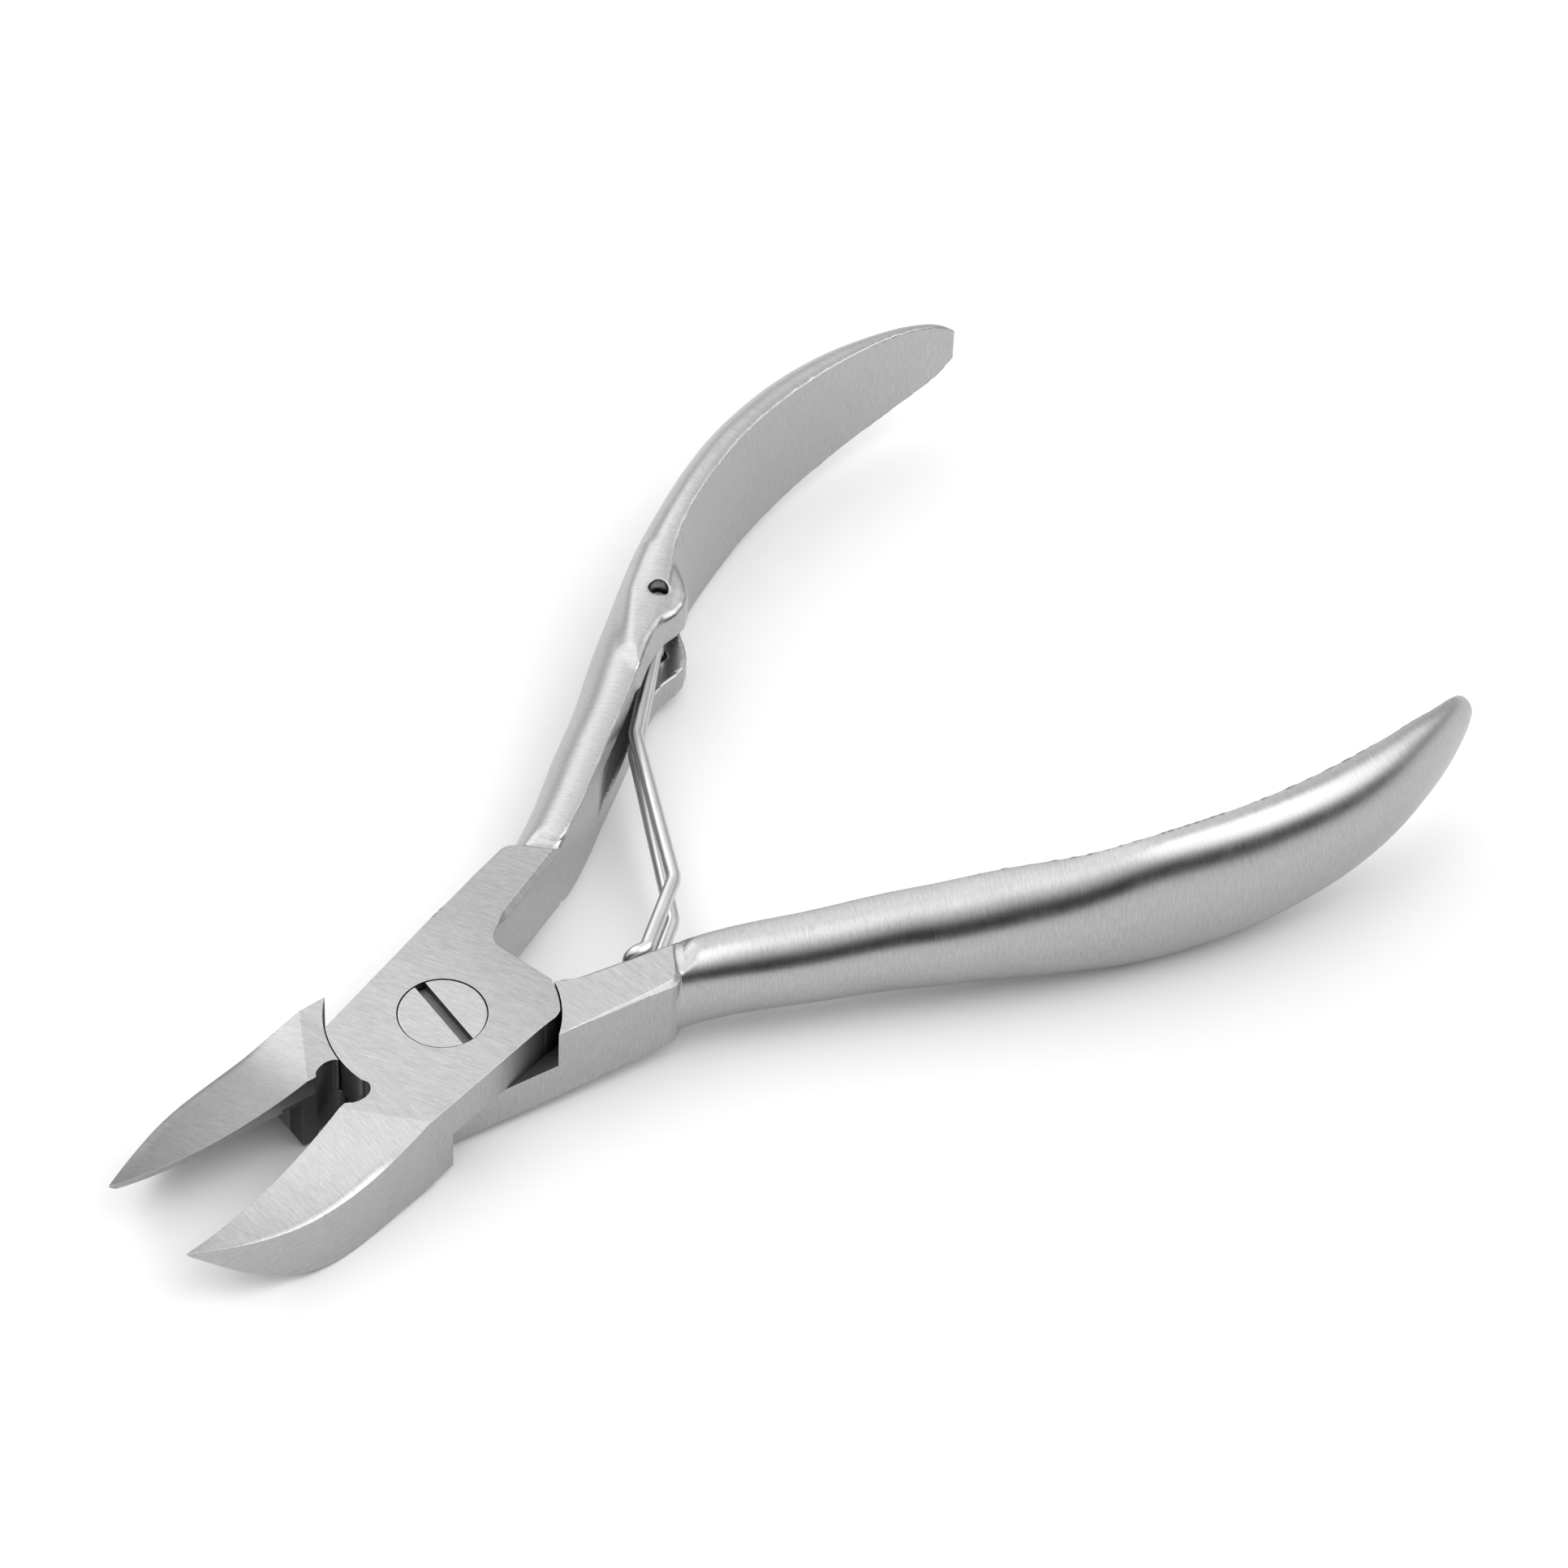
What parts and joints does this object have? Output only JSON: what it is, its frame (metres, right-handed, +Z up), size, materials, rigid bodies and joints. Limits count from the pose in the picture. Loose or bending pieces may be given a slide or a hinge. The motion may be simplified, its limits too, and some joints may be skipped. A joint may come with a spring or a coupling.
{
  "type": "cuticle nipper",
  "caption": "Steel lap-joint cuticle nipper with full side-cutting jaws, slotted pivot screw, curved handles and a bent-wire return spring, modelled open.",
  "frame": {"origin": "on the pivot screw's axis, in the plane of the joint's flat underside", "axes": "+Z up along the pivot axis, +Y from the pivot towards the handle ends, jaws towards -Y, +X to the right with the jaws pointing at the reader"},
  "size_m": [0.0612, 0.1037, 0.012],
  "materials": {
    "satin_steel": "satin ground stainless steel, fine brushing",
    "screw_steel": "ground flush with the joint",
    "spring_wire": "bright drawn spring wire"
  },
  "bodies": {
    "lower_half": {"lower_half": "satin_steel", "pivot_screw": "screw_steel"},
    "upper_half": {"upper_half": "satin_steel", "wire_spring": "spring_wire"}
  },
  "joints": [
    {"name": "jaw_pivot", "type": "hinge", "parent": "lower_half", "child": "upper_half", "pos_m": [0, 0, 0.00323], "axis": [0, 0, 1], "range_deg": [-16.7, 5], "stiffness_Nm_per_rad": 0.35, "deforming": ["wire_spring"]}
  ]
}
